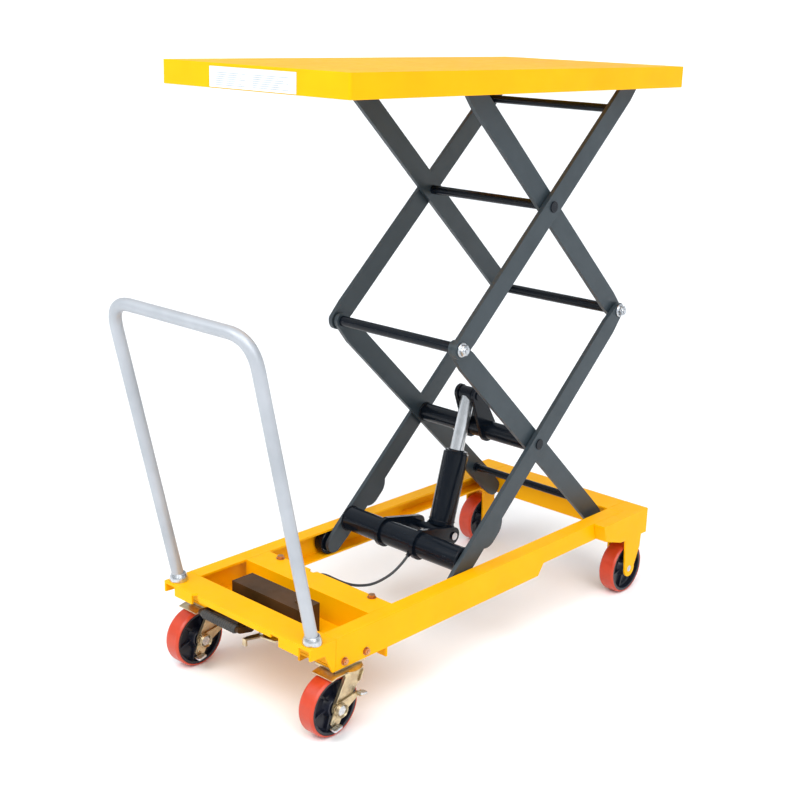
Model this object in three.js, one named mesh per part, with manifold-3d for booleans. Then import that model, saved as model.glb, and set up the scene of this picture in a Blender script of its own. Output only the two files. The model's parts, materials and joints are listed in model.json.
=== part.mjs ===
// Double scissor lift table on four wheels: yellow base frame, dark scissor
// arms with a hydraulic cylinder, raised deck, push handle and foot pump.
// Millimetres, +Z up, +X from the handle end to the far end, origin on the
// floor under the middle of the bounding box. Drawn with the lift raised.
import * as THREE from 'three';
import { mergeVertices } from 'three/addons/utils/BufferGeometryUtils.js';
import Module from 'manifold-3d';

const wasm = await Module();
wasm.setup();

// ---- driving dimensions (X measured from the handle-end edge of the deck) ----
const DECK = { length: 1050, width: 500, top: 1250, skirt: 45, sheet: 3, corner: 6 };
const PIVOT_X = 972;            // fixed pivots at the far end
const PIVOT_Z = 170;            // lower pivots above the floor
const HALF = 388;               // half an arm, pivot to pivot
const RAISED = 42.88;           // arm angle in degrees as drawn
const ARM = { width: 48, end: 21, tip: 17, bore: 8.4 };
const INNER_Y = [158, 168];     // |y| of the inner arms
const OUTER_Y = [171, 181];     // |y| of the outer arms
const RAIL = { top: 204, web: 219, lip: 184, plate: 5, low: 136, high: 162 };
const RAIL_X = [20.5, 999.5];   // rails end against the front beam and far box
const STEP_X = [662, 681];      // slope where the rail gets shallower
const FRONT_X = -47;            // front edge of the front beam
const FAR_X = 1060;             // far end of the base
const WHEEL = { radius: 62.5, width: 40, tyre: 9, bore: 8 };
const FIXED = { x: 997, y: 223 };
const CASTER = { x: 62, y: 203, trail: 45 };
const HANDLE = { x: -23, y: 200, topX: -172, topZ: 818, radius: 12.5, bend: 62 };
const ROLLER = { base: 28.6, deck: 16.8 };
const BASE_TUBE = { t: 70, n: 4.5, radius: 28 };
const CHEEKS = [[-52, -42], [53, 63]];
const FOOT = { t: 143, n: -75, y: -10 };
const ROD_PIN = { t: 94, n: 35 };
const BARREL = { radius: 29, bore: 21.5, length: 184 };
const ROD = { radius: 15.5, length: 178 };
const ORIGIN_X = (HANDLE.topX - HANDLE.radius + FAR_X) / 2;

const rad = (deg) => (deg * Math.PI) / 180;
const COS = Math.cos(rad(RAISED));
const SIN = Math.sin(rad(RAISED));

// ---- pivots of the linkage in X and Z ----
const lowLeft = [PIVOT_X - 2 * HALF * COS, PIVOT_Z];
const lowRight = [PIVOT_X, PIVOT_Z];
const lowCentre = [PIVOT_X - HALF * COS, PIVOT_Z + HALF * SIN];
const midLeft = [lowLeft[0], PIVOT_Z + 2 * HALF * SIN];
const midRight = [PIVOT_X, midLeft[1]];
const highCentre = [lowCentre[0], PIVOT_Z + 3 * HALF * SIN];
const topLeft = [lowLeft[0], PIVOT_Z + 4 * HALF * SIN];
const topRight = [PIVOT_X, topLeft[1]];
const onOuter = (t, n) => [lowLeft[0] + t * COS - n * SIN, lowLeft[1] + t * SIN + n * COS];
const onInner = (t, n) => [lowCentre[0] - t * COS + n * SIN, lowCentre[1] + t * SIN + n * COS];

// ---- materials ----
const paint = (name, color, roughness, metalness) =>
  new THREE.MeshStandardMaterial({ name, color, roughness, metalness });
const YELLOW = paint('yellow_powder_coat', 0xfecd08, 0.38, 0.0);
const SLATE = paint('slate_paint', 0x424a4e, 0.42, 0.1);
const BLACK = paint('black_enamel', 0x15181c, 0.25, 0.1);
const SILVER = paint('silver_powder_coat', 0xbec1c6, 0.45, 0.3);
const ZINC = paint('yellow_zinc', 0xd9c8a0, 0.4, 0.8);
const STEEL = paint('bright_zinc', 0xd4d7da, 0.3, 0.9);
const CHROME = paint('hard_chrome', 0xe2e4e6, 0.12, 1.0);
const TYRE = paint('red_polyurethane', 0xd65032, 0.4, 0.0);
const CORE = paint('navy_core', 0x1a1c2a, 0.5, 0.0);
const RUBBER = paint('grey_rubber', 0x3b3a38, 0.8, 0.0);
const LABEL = paint('white_label', 0xeceff0, 0.5, 0.0);

// ---- solid helpers ----
function toManifold(geometry) {
  const bare = geometry.clone();
  bare.deleteAttribute('normal');
  bare.deleteAttribute('uv');
  const welded = mergeVertices(bare, 1e-4);
  const triVerts = new Uint32Array(welded.index.array);
  const vertProperties = new Float32Array(welded.attributes.position.array);
  return new wasm.Manifold(new wasm.Mesh({ numProp: 3, vertProperties, triVerts }));
}

function toGeometry(solid) {
  const mesh = solid.getMesh();
  const geometry = new THREE.BufferGeometry();
  geometry.setAttribute('position', new THREE.BufferAttribute(new Float32Array(mesh.vertProperties), 3));
  geometry.setIndex(new THREE.BufferAttribute(new Uint32Array(mesh.triVerts), 1));
  const flat = geometry.toNonIndexed();
  flat.computeVertexNormals();
  return flat;
}

function join(...parts) {
  return parts.reduce((sum, part) => sum.add(part));
}

function cut(body, ...tools) {
  return tools.reduce((rest, tool) => rest.subtract(tool), body);
}

function box(x, y, z) {
  const geometry = new THREE.BoxGeometry(x[1] - x[0], y[1] - y[0], z[1] - z[0]);
  geometry.translate((x[0] + x[1]) / 2, (y[0] + y[1]) / 2, (z[0] + z[1]) / 2);
  return toManifold(geometry);
}

function outline(points) {
  return new THREE.Shape(points.map((p) => new THREE.Vector2(p[0], p[1])));
}

// A flat shape drawn in X and Z, given thickness along Y.
function slabXZ(shape, y, curveSegments = 10) {
  const geometry = new THREE.ExtrudeGeometry(shape, {
    depth: y[1] - y[0], bevelEnabled: false, curveSegments,
  });
  geometry.rotateX(Math.PI / 2);
  geometry.translate(0, y[1], 0);
  return toManifold(geometry);
}

// A flat shape drawn in X and Y, given thickness along Z.
function slabXY(shape, z, curveSegments = 10) {
  const geometry = new THREE.ExtrudeGeometry(shape, {
    depth: z[1] - z[0], bevelEnabled: false, curveSegments,
  });
  geometry.translate(0, 0, z[0]);
  return toManifold(geometry);
}

function rodY(x, z, radius, y, segments = 20) {
  const geometry = new THREE.CylinderGeometry(radius, radius, y[1] - y[0], segments);
  geometry.translate(x, (y[0] + y[1]) / 2, z);
  return toManifold(geometry);
}

function rodZ(x, y, radius, z, segments = 24) {
  const geometry = new THREE.CylinderGeometry(radius, radius, z[1] - z[0], segments);
  geometry.rotateX(Math.PI / 2);
  geometry.translate(x, y, (z[0] + z[1]) / 2);
  return toManifold(geometry);
}

// Round bar between two points, for the cylinder and its rod.
function rodBetween(from, to, radius, segments = 24) {
  const a = new THREE.Vector3(...from);
  const b = new THREE.Vector3(...to);
  const geometry = new THREE.CylinderGeometry(radius, radius, a.distanceTo(b), segments);
  const turn = new THREE.Quaternion().setFromUnitVectors(
    new THREE.Vector3(0, 1, 0), b.clone().sub(a).normalize());
  geometry.applyQuaternion(turn);
  const middle = a.add(b).multiplyScalar(0.5);
  geometry.translate(middle.x, middle.y, middle.z);
  return toManifold(geometry);
}

// Mirror-image placement: side -1 is the near side, +1 the far side.
function span(side, range) {
  return side > 0 ? [range[0], range[1]] : [-range[1], -range[0]];
}

const object = new THREE.Group();
object.name = 'scissor_lift_table';

function add(name, solid, material) {
  const geometry = toGeometry(solid);
  geometry.translate(-ORIGIN_X, 0, 0);
  const mesh = new THREE.Mesh(geometry, material);
  mesh.name = name;
  object.add(mesh);
}

const SIDES = [['near', -1], ['far', 1]];

// ---- base frame ----
function rail(side) {
  const { top, web, lip, plate, low, high } = RAIL;
  const [x0, x1] = RAIL_X;
  const [s0, s1] = STEP_X;
  const side_web = outline([[x0, low], [s0, low], [s1, high], [x1, high], [x1, top], [x0, top]]);
  const bottom = outline([[x0, low], [s0, low], [s1, high], [x1, high],
    [x1, high + plate], [s1 - 2, high + plate], [s0 - 2, low + plate], [x0, low + plate]]);
  const body = join(
    slabXZ(side_web, span(side, [web - plate, web])),
    slabXZ(bottom, span(side, [lip, web])),
    box([x0, x1], span(side, [lip, web]), [top - plate, top]));
  const bolt_y = span(side, [web - 6, web + 3.2]);
  const bolts = [43, 103].map((x) => rodY(x, 150, 4, bolt_y, 12));
  const seat = box([x0, 172], span(side, [118, 216]), [low, low + plate]);
  const back_lip = box([167, 172], span(side, [118, 213]), [low - 24, low + 2]);
  const inner_lip = box([x0, 172], span(side, [113, 118.5]), [low - 16, low + plate]);
  return join(body, seat, back_lip, inner_lip, ...bolts);
}

function front_beam() {
  const { top, web, plate, low } = RAIL;
  const notch = 9;
  const deck = outline([[FRONT_X, -web], [20, -web], [20, web], [FRONT_X, web],
    [FRONT_X, 120 + notch], [FRONT_X + notch, 120], [FRONT_X, 120 - notch]]);
  const cheek = outline([[FRONT_X, top], [FRONT_X, top - 24], [-8, top - 26],
    [12, low], [20, low], [20, top]]);
  const parts = [slabXY(deck, [top - 6, top])];
  parts.push(box([15, 20], [-web, web], [146, top]));
  parts.push(box([FRONT_X, FRONT_X + 5], [-108, 108], [top - 13, top]));
  for (const [, side] of SIDES) {
    parts.push(slabXZ(cheek, span(side, [web - plate, web])));
    parts.push(box([FRONT_X, FRONT_X + 5], span(side, [130, 186]), [top - 25, top]));
  }
  return join(...parts);
}

// Cross plate with the low tray that closes the recess in front of it.
function cross_plate() {
  const { top, lip, plate } = RAIL;
  const notch = outline([[203, 35], [220, 30], [220, 54], [203, 49]]);
  const deck = box([145.6, 212], [-lip + 0.4, lip - 0.4], [top - plate, top]);
  const floor = box([20.4, 149.6], [-lip + 0.4, lip - 0.4], [142, 146]);
  const wall = box([145.6, 149.6], [-lip + 0.4, lip - 0.4], [142, top]);
  const bolts = [-137, 137].map((y) => rodZ(203, y, 5, [top - 2, top + 4], 12));
  return join(cut(deck, slabXY(notch, [top - 10, top + 10])), floor, wall, ...bolts);
}

function far_beam() {
  const { top, plate } = RAIL;
  const parts = [
    box([985, FAR_X], [-183.6, 183.6], [top - plate, top]),
    box([FAR_X - 5, FAR_X], [-183.6, 183.6], [140, top]),
    box([998, 1003], [-183.6, 183.6], [146, top]),
  ];
  const lug = outline([[998, 146], [998, 199], [985, 199], [985, 195], [962, 192],
    [952, 180], [952, 160], [962, 150], [975, 146]]);
  for (const [, side] of SIDES) {
    const plate_lug = slabXZ(lug, span(side, [171, 179]));
    parts.push(cut(plate_lug, rodY(lowRight[0], lowRight[1], ARM.bore, span(side, [170, 180]))));
  }
  return join(...parts);
}

// Welded box over each fixed wheel with its two fork legs.
function wheel_box(side) {
  const { top, plate, web } = RAIL;
  const leg = new THREE.Shape();
  leg.moveTo(874, top);
  leg.lineTo(884, 164);
  leg.lineTo(950, 144);
  leg.lineTo(970, 143);
  leg.lineTo(FIXED.x - 20, 62.5);
  leg.absarc(FIXED.x, WHEEL.radius, 20, Math.PI, 2 * Math.PI + 0.25, false);
  leg.lineTo(1036, 112);
  leg.lineTo(1038, 142);
  leg.lineTo(FAR_X, 142);
  leg.lineTo(FAR_X, top);
  const inner = new THREE.Shape();
  inner.moveTo(975, 160);
  inner.lineTo(FIXED.x - 19, 62.5);
  inner.absarc(FIXED.x, WHEEL.radius, 19, Math.PI, 2 * Math.PI, false);
  inner.lineTo(1030, 160);
  const outer_plate = slabXZ(leg, span(side, [246, 250]));
  const roof = box([874, FAR_X], span(side, [web + 0.4, 249]), [top - plate, top]);
  const back = box([FAR_X - 5, FAR_X], span(side, [184.5, 249]), [142, top]);
  const shelf = box([1000, FAR_X], span(side, [184.5, web + 2]), [top - plate, top]);
  const seat = box([960, FAR_X], span(side, [184.5, 248]), [154, 160]);
  const inner_plate = slabXZ(inner, span(side, [195.5, 200]));
  const slope = outline([[874, top], [884, 164], [888, 164], [879, top]]);
  const front = slabXZ(slope, span(side, [web + 0.4, 248]));
  const bore = rodY(FIXED.x, WHEEL.radius, WHEEL.bore + 0.4, span(side, [190, 255]));
  return cut(join(outer_plate, roof, back, shelf, seat, inner_plate, front), bore);
}

for (const [label, side] of SIDES) {
  add(`base_rail_${label}`, rail(side), YELLOW);
  add(`fixed_wheel_box_${label}`, wheel_box(side), YELLOW);
}
add('front_beam', front_beam(), YELLOW);
add('cross_plate', cross_plate(), YELLOW);
add('far_beam', far_beam(), YELLOW);

// ---- handle and its collars ----
function handle() {
  const { x, y, topX, topZ, radius, bend } = HANDLE;
  const foot = RAIL.top + 3.6;
  const lean = new THREE.Vector3(topX - x, 0, topZ - foot).normalize();
  const path = new THREE.CurvePath();
  const at = (side, back) => new THREE.Vector3(topX, side * y, topZ).addScaledVector(lean, -back);
  const bar = (side) => new THREE.Vector3(topX, side * (y - bend), topZ);
  const corner = (side) => new THREE.Vector3(topX, side * y, topZ);
  path.add(new THREE.LineCurve3(new THREE.Vector3(x, -y, foot), at(-1, bend)));
  path.add(new THREE.QuadraticBezierCurve3(at(-1, bend), corner(-1), bar(-1)));
  path.add(new THREE.LineCurve3(bar(-1), bar(1)));
  path.add(new THREE.QuadraticBezierCurve3(bar(1), corner(1), at(1, bend)));
  path.add(new THREE.LineCurve3(at(1, bend), new THREE.Vector3(x, y, foot)));
  const circle = new THREE.Shape();
  circle.absarc(0, 0, radius, 0, 2 * Math.PI, false);
  return toManifold(new THREE.ExtrudeGeometry(circle, {
    steps: 46, bevelEnabled: false, extrudePath: path, curveSegments: 6,
  }));
}

// Domed socket; its bore follows the leaning leg.
function collar(side) {
  const { x, y, topX, topZ, radius } = HANDLE;
  const foot = RAIL.top + 3.6;
  const profile = [[0, 0], [19, 0], [19, 7], [17.5, 11], [15.2, 16], [0, 16]]
    .map((p) => new THREE.Vector2(p[0], p[1]));
  const dome = new THREE.LatheGeometry(profile, 28);
  dome.rotateX(Math.PI / 2);
  dome.translate(x - 1.5, side * y, RAIL.top + 0.3);
  const slope = (topX - x) / (topZ - foot);
  const leg = (z) => [x + slope * (z - foot), side * y, z];
  return cut(toManifold(dome), rodBetween(leg(foot - 30), leg(foot + 60), radius + 0.35, 28));
}

add('push_handle', handle(), SILVER);
for (const [label, side] of SIDES) add(`handle_collar_${label}`, collar(side), STEEL);

// ---- foot pump ----
function pump_cover() {
  const shell = box([42, 98], [-94, 109], [146.4, 212]);
  const hollow = box([44, 96], [-92, 107], [140, 210]);
  return join(cut(shell, hollow), rodZ(70, -62, 5, [211, 215], 12));
}

function pump_head() {
  const block = box([-24, 14.6], [14, 52], [150, 197.6]);
  const plate = slabXY(outline([[-12, -70], [14.6, -70], [14.6, 15], [-24, 15], [-34, -34]]), [178, 184]);
  const hanger = box([4, 14.6], [-30, -14], [157, 197.6]);
  const tunnel = rodY(-12, 165, 8.4, [10, 56], 20);
  return cut(join(block, plate, hanger), tunnel);
}

function foot_pedal() {
  const pivot = rodY(-12, 165, 8, [-14, 108], 20);
  const bar = rodY(-43, 170, 5.6, [-14, 108], 16);
  const crank = outline([[-12, 157], [-6, 161], [-6, 169], [-12, 173], [-43, 176], [-48, 172],
    [-48, 167], [-43, 163.4]]);
  return join(pivot, bar, slabXZ(crank, [102, 108]), slabXZ(crank, [-14, -8]));
}

function pedal_sleeve() {
  const body = rodY(-43, 170, 10, [-5, 99], 24);
  return cut(body, rodY(-43, 170, 5.9, [-10, 104], 16));
}

function release_lever() {
  const blade = outline([[2, -80], [8, -72], [5, -28], [-32, -20], [-42, -22], [-40, -30],
    [-12, -40], [-6, -74]]);
  const tab = box([-42, -37], [-30, -20], [141, 156.6]);
  const pin = rodZ(-2, -34, 5, [150.6, 177.4], 12);
  return join(slabXY(blade, [153, 156.6]), tab, pin);
}

add('pump_cover', pump_cover(), BLACK);
add('pump_head', pump_head(), BLACK);
add('foot_pedal', foot_pedal(), BLACK);
add('pedal_sleeve', pedal_sleeve(), RUBBER);
add('release_lever', release_lever(), ZINC);

// ---- wheels ----
function ring(x, y, z, profile, segments) {
  const points = profile.map((p) => new THREE.Vector2(p[0], p[1]));
  const geometry = new THREE.LatheGeometry(points, segments);
  geometry.translate(x, y, z);
  return toManifold(geometry);
}

function tyre(x, y) {
  const { radius, width, tyre: depth } = WHEEL;
  const half = width / 2;
  const inside = radius - depth;
  return ring(x, y, radius, [[inside, -half], [radius - 3, -half], [radius, -half + 3],
    [radius, half - 3], [radius - 3, half], [inside, half], [inside, -half]], 40);
}

function core(x, y) {
  const { radius, width, tyre: depth, bore } = WHEEL;
  const rim = radius - depth - 0.3;
  const half = width / 2 - 0.5;
  return ring(x, y, radius, [[bore + 0.4, -half - 2], [19, -half - 2], [20, -8], [rim - 7, -8],
    [rim - 5, -half], [rim, -half], [rim, half], [rim - 5, half], [rim - 7, 8], [20, 8],
    [19, half + 2], [bore + 0.4, half + 2], [bore + 0.4, -half - 2]], 28);
}

function axle(x, y, reach) {
  const shaft = rodY(x, WHEEL.radius, WHEEL.bore, [y - reach, y + reach], 20);
  const head = rodY(x, WHEEL.radius, 12, [y - reach, y - reach + 5], 6);
  const nut = rodY(x, WHEEL.radius, 12, [y + reach - 5, y + reach], 6);
  return join(shaft, head, nut);
}

for (const [label, side] of SIDES) {
  const y = side * FIXED.y;
  add(`fixed_tyre_${label}`, tyre(FIXED.x, y), TYRE);
  add(`fixed_core_${label}`, core(FIXED.x, y), CORE);
  add(`fixed_axle_${label}`, rodY(FIXED.x, WHEEL.radius, WHEEL.bore, span(side, [194, 249.6]), 20), STEEL);
}

// ---- swivel casters: top plate, fork with axle, brake lever, core, tyre ----
const caster_wheel_x = CASTER.x - CASTER.trail;

function caster_plate(y) {
  return box([CASTER.x - 42, CASTER.x + 42], y, [131.2, 135.7]);
}

function caster_fork(y) {
  const leg = new THREE.Shape();
  leg.moveTo(CASTER.x + 22, 130.8);
  leg.lineTo(CASTER.x - 26, 130.8);
  leg.lineTo(caster_wheel_x - 15, 70);
  leg.absarc(caster_wheel_x, WHEEL.radius, 16, Math.PI * 0.85, Math.PI * 1.75, false);
  leg.lineTo(CASTER.x + 6, 98);
  const crown = rodZ(CASTER.x, y, 33, [127.8, 130.8], 28);
  const web = box([CASTER.x - 24, CASTER.x + 20], [y - 28, y + 28], [127.8, 130.8]);
  const legs = [[-28, -24.5], [24.5, 28]].map((r) => slabXZ(leg, [y + r[0], y + r[1]]));
  return join(crown, web, ...legs, axle(caster_wheel_x, y, 37.5));
}

// Pressed brake lever turning on the axle outside the fork leg.
function brake_lever(y) {
  const hub = new THREE.Shape();
  hub.moveTo(caster_wheel_x - 10, 74);
  hub.lineTo(caster_wheel_x - 24, 40);
  hub.lineTo(caster_wheel_x - 15, 28);
  hub.lineTo(caster_wheel_x - 2, 30);
  hub.lineTo(caster_wheel_x + 12, 52);
  hub.lineTo(caster_wheel_x + 52, 74);
  hub.lineTo(caster_wheel_x + 50, 84);
  hub.lineTo(caster_wheel_x + 12, 78);
  const blade = slabXZ(hub, [y - 32, y - 28.4]);
  const toe = box([caster_wheel_x - 24, caster_wheel_x - 4], [y - 42, y - 30], [27, 31]);
  const heel = box([caster_wheel_x + 44, caster_wheel_x + 60], [y - 44, y - 29], [78, 82]);
  const bore = rodY(caster_wheel_x, WHEEL.radius, WHEEL.bore + 0.4, [y - 50, y], 20);
  return cut(join(blade, toe, heel), bore);
}

for (const [label, side] of SIDES) {
  const y = side * CASTER.y;
  add(`caster_plate_${label}`, caster_plate(span(side, [161, RAIL.web - 1])), ZINC);
  add(`caster_fork_${label}`, caster_fork(y), ZINC);
  add(`brake_lever_${label}`, brake_lever(y), ZINC);
  add(`caster_tyre_${label}`, tyre(caster_wheel_x, y), TYRE);
  add(`caster_core_${label}`, core(caster_wheel_x, y), CORE);
}

// ---- scissor arms ----
// Flat bar between two pivots with rounded ends; bulge widens the lower edge.
// The end that carries its own welded pin has no bore.
function arm(from, to, y, bulge, bores) {
  const length = 2 * HALF;
  const half = ARM.width / 2;
  const shape = new THREE.Shape();
  shape.moveTo(0, -ARM.end);
  shape.lineTo(34, -half);
  if (bulge) {
    shape.lineTo(122, -half);
    shape.quadraticCurveTo(132, -half - 15, 150, -half - 16);
    shape.lineTo(176, -half - 16);
    shape.quadraticCurveTo(190, -half - 14, 202, -half);
  }
  shape.lineTo(length - 50, -half);
  shape.lineTo(length, -ARM.tip);
  shape.absarc(length, 0, ARM.tip, -Math.PI / 2, Math.PI / 2, false);
  shape.lineTo(length - 50, half);
  shape.lineTo(34, half);
  shape.lineTo(0, ARM.end);
  shape.absarc(0, 0, ARM.end, Math.PI / 2, 1.5 * Math.PI, false);
  for (const t of bores) {
    const hole = new THREE.Path();
    hole.absarc(t, 0, ARM.bore, 0, 2 * Math.PI, true);
    shape.holes.push(hole);
  }
  const geometry = new THREE.ExtrudeGeometry(shape, {
    depth: y[1] - y[0], bevelEnabled: false, curveSegments: 10,
  });
  geometry.rotateX(Math.PI / 2);
  geometry.translate(0, y[1], 0);
  if (to[0] < from[0]) {
    geometry.scale(-1, 1, 1);
    for (let i = 0; i < geometry.attributes.position.count; i += 3) {
      const p = geometry.attributes.position;
      const b = [p.getX(i + 1), p.getY(i + 1), p.getZ(i + 1)];
      p.setXYZ(i + 1, p.getX(i + 2), p.getY(i + 2), p.getZ(i + 2));
      p.setXYZ(i + 2, b[0], b[1], b[2]);
    }
  }
  const lean = Math.atan2(to[1] - from[1], Math.abs(to[0] - from[0]));
  geometry.rotateY(to[0] < from[0] ? lean : -lean);
  geometry.translate(from[0], 0, from[1]);
  return toManifold(geometry);
}

function roller(x, z, y, radius) {
  return cut(rodY(x, z, radius, y, 28), rodY(x, z, 8.4, [y[0] - 1, y[1] + 1], 20));
}

for (const [label, side] of SIDES) {
  const outer = span(side, OUTER_Y);
  const inner = span(side, INNER_Y);
  const low_stub = rodY(lowLeft[0], lowLeft[1], 8, span(side, [OUTER_Y[0], 213]), 20);
  const top_stub = rodY(topLeft[0], topLeft[1], 8, span(side, [INNER_Y[0], 192.4]), 20);
  const foot_pin = rodY(lowRight[0], lowRight[1], 8, span(side, [159, 182]), 20);
  const deck_pin = rodY(topRight[0], topRight[1], 8, span(side, [159, 192.4]), 20);
  const lower = [HALF, 2 * HALF];
  const upper = [0, HALF];
  add(`lower_outer_arm_${label}`, join(arm(lowLeft, midRight, outer, true, lower), low_stub), SLATE);
  add(`lower_inner_arm_${label}`, join(arm(lowRight, midLeft, inner, false, lower), foot_pin), SLATE);
  add(`upper_outer_arm_${label}`, join(arm(midLeft, topRight, outer, false, upper), deck_pin), SLATE);
  add(`upper_inner_arm_${label}`, join(arm(midRight, topLeft, inner, false, upper), top_stub), SLATE);
  add(`base_roller_${label}`, roller(lowLeft[0], lowLeft[1], span(side, [186, 210]), ROLLER.base), BLACK);
  add(`deck_roller_${label}`, roller(topLeft[0], topLeft[1], span(side, [172, 190]), ROLLER.deck), BLACK);
}

// ---- shafts and tubes across the frames ----
// Tube between the inner arms with a pin through both arms and a nut outside.
function pivot_shaft(pivot, radius, nut) {
  const [x, z] = pivot;
  const parts = [rodY(x, z, radius, [-157.7, 157.7], 24), rodY(x, z, 8, [-183.5, 183.5], 20)];
  for (const [, side] of SIDES) {
    parts.push(rodY(x, z, nut ? 15 : 12, span(side, [181.4, 183.5]), 24));
    if (nut) parts.push(rodY(x, z, 10, span(side, [183, 190]), 6));
  }
  return join(...parts);
}

function rod_bracket(y) {
  const [px, pz] = onInner(ROD_PIN.t, ROD_PIN.n);
  const [cx, cz] = lowCentre;
  const dx = px - cx;
  const dz = pz - cz;
  const length = Math.hypot(dx, dz);
  const n = [-dz / length, dx / length];
  const shape = new THREE.Shape();
  const angle = Math.atan2(dz, dx);
  shape.absarc(px, pz, 18, angle - Math.PI / 2, angle + Math.PI / 2, false);
  shape.lineTo(cx + 27 * n[0], cz + 27 * n[1]);
  shape.absarc(cx, cz, 27, angle + Math.PI / 2, angle + 1.5 * Math.PI, false);
  return slabXZ(shape, y);
}

const pin_x = onInner(ROD_PIN.t, ROD_PIN.n);
const foot_x = onOuter(FOOT.t, FOOT.n);

function centre_shaft() {
  const y = FOOT.y;
  const studs = [[y - 31, y - 20], [y + 20, y + 31]].map((r) => rodY(pin_x[0], pin_x[1], 10, r, 20));
  return join(pivot_shaft(lowCentre, 21, false),
    rod_bracket([y - 28, y - 19.5]), rod_bracket([y + 19.5, y + 28]), ...studs);
}

// Large tube between the lower outer arms carrying the cylinder clevis.
function base_tube() {
  const [cx, cz] = onOuter(BASE_TUBE.t, BASE_TUBE.n);
  const dx = foot_x[0] - cx;
  const dz = foot_x[1] - cz;
  const angle = Math.atan2(dz, dx);
  const cheek = new THREE.Shape();
  cheek.absarc(foot_x[0], foot_x[1], 20, angle - Math.PI / 2, angle + Math.PI / 2, false);
  cheek.absarc(cx, cz, 34, angle + Math.PI / 2, angle + 1.5 * Math.PI, false);
  const tube = cut(rodY(cx, cz, BASE_TUBE.radius, [-170.7, 170.7], 32),
    rodY(cx, cz, BASE_TUBE.radius - 4, [-172, -150], 28), rodY(cx, cz, BASE_TUBE.radius - 4, [150, 172], 28));
  const cheeks = CHEEKS.map((r) => slabXZ(cheek, r, 14));
  const bores = rodY(foot_x[0], foot_x[1], 9.4, [-70, 70], 20);
  return cut(join(tube, ...cheeks), bores);
}

function cross_tube(x, z, radius, y) {
  return rodY(x, z, radius, [-y, y], 20);
}

const foot_tube_at = [lowRight[0] - 110 * COS, lowRight[1] + 110 * SIN];
const top_tube_at = [topRight[0] - 100 * COS, topRight[1] - 100 * SIN];

add('centre_shaft_lower', centre_shaft(), BLACK);
add('centre_shaft_upper', pivot_shaft(highCentre, 10, false), BLACK);
add('joint_shaft_left', pivot_shaft(midLeft, 11.5, true), BLACK);
add('joint_shaft_right', pivot_shaft(midRight, 11.5, true), BLACK);
add('foot_cross_tube', cross_tube(foot_tube_at[0], foot_tube_at[1], 9, 157.7), BLACK);
add('top_cross_tube', cross_tube(top_tube_at[0], top_tube_at[1], 9, 170.7), BLACK);
add('base_tube', base_tube(), BLACK);
add('cylinder_foot_pin', rodY(foot_x[0], foot_x[1], 9, [-56, 67], 20), STEEL);

// ---- hydraulic cylinder ----
const axis = new THREE.Vector2(pin_x[0] - foot_x[0], pin_x[1] - foot_x[1]);
const reach = axis.length();
axis.normalize();
const along = (d) => [foot_x[0] + d * axis.x, FOOT.y, foot_x[1] + d * axis.y];

function barrel() {
  const tube = rodBetween(along(16), along(BARREL.length), BARREL.radius, 36);
  const eye = rodY(foot_x[0], foot_x[1], 24, [FOOT.y - 27, FOOT.y + 27], 28);
  const gland = rodBetween(along(BARREL.length - 3), along(BARREL.length + 5), 24, 32);
  const bore = rodBetween(along(30), along(BARREL.length - 12), BARREL.bore, 28);
  const lip = rodBetween(along(BARREL.length - 14), along(BARREL.length + 8), ROD.radius + 0.4, 28);
  const pin = rodY(foot_x[0], foot_x[1], 9.4, [FOOT.y - 40, FOOT.y + 40], 20);
  return cut(join(tube, eye, gland), bore, lip, pin);
}

function piston_rod() {
  const stem = rodBetween(along(reach - ROD.length), along(reach - 6), ROD.radius, 28);
  const head = rodY(pin_x[0], pin_x[1], 16, [FOOT.y - 16, FOOT.y + 16], 24);
  return join(stem, head);
}

add('cylinder_barrel', barrel(), BLACK);
add('cylinder_rod', piston_rod(), CHROME);

// ---- hydraulic hose from the cross plate to the base tube ----
const HOSE_POINTS = [
  [213.5, 41, 192], [222, 38, 192], [231, 34.5, 190.5], [242, 30.5, 185.5],
  [254, 26, 177.5], [268, 20.5, 168.5], [284, 14.5, 159.5], [301, 8, 152.5],
  [319, 1, 148.5], [337, -6, 147.5], [354, -12.5, 150.5], [370, -18.5, 156.5],
  [384, -24, 164], [397, -28.5, 173.5], [409, -32, 184], [419, -34.5, 194],
  [427, -36, 202.5],
];

function hose() {
  const points = HOSE_POINTS.map((p) => new THREE.Vector3(...p));
  const curve = new THREE.CatmullRomCurve3(points, false, 'centripetal');
  const circle = new THREE.Shape();
  circle.absarc(0, 0, 3.5, 0, 2 * Math.PI, false);
  return toManifold(new THREE.ExtrudeGeometry(circle, {
    steps: 44, bevelEnabled: false, extrudePath: curve, curveSegments: 4,
  }));
}

add('hydraulic_hose', hose(), RUBBER);

// ---- deck ----
function deck_tray() {
  const { length, width, top, skirt, sheet, corner } = DECK;
  const half = width / 2;
  const ring_of = (inset, r) => {
    const shape = new THREE.Shape();
    const [x0, x1, y0, y1] = [inset, length - inset, -half + inset, half - inset];
    shape.moveTo(x0 + r, y0);
    shape.lineTo(x1 - r, y0);
    shape.quadraticCurveTo(x1, y0, x1, y0 + r);
    shape.lineTo(x1, y1 - r);
    shape.quadraticCurveTo(x1, y1, x1 - r, y1);
    shape.lineTo(x0 + r, y1);
    shape.quadraticCurveTo(x0, y1, x0, y1 - r);
    shape.lineTo(x0, y0 + r);
    shape.quadraticCurveTo(x0, y0, x0 + r, y0);
    return shape;
  };
  const block = slabXY(ring_of(0, corner), [top - skirt, top], 5);
  return cut(block, slabXY(ring_of(sheet, corner - 2.5), [top - skirt - 2, top - sheet], 5));
}

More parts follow.
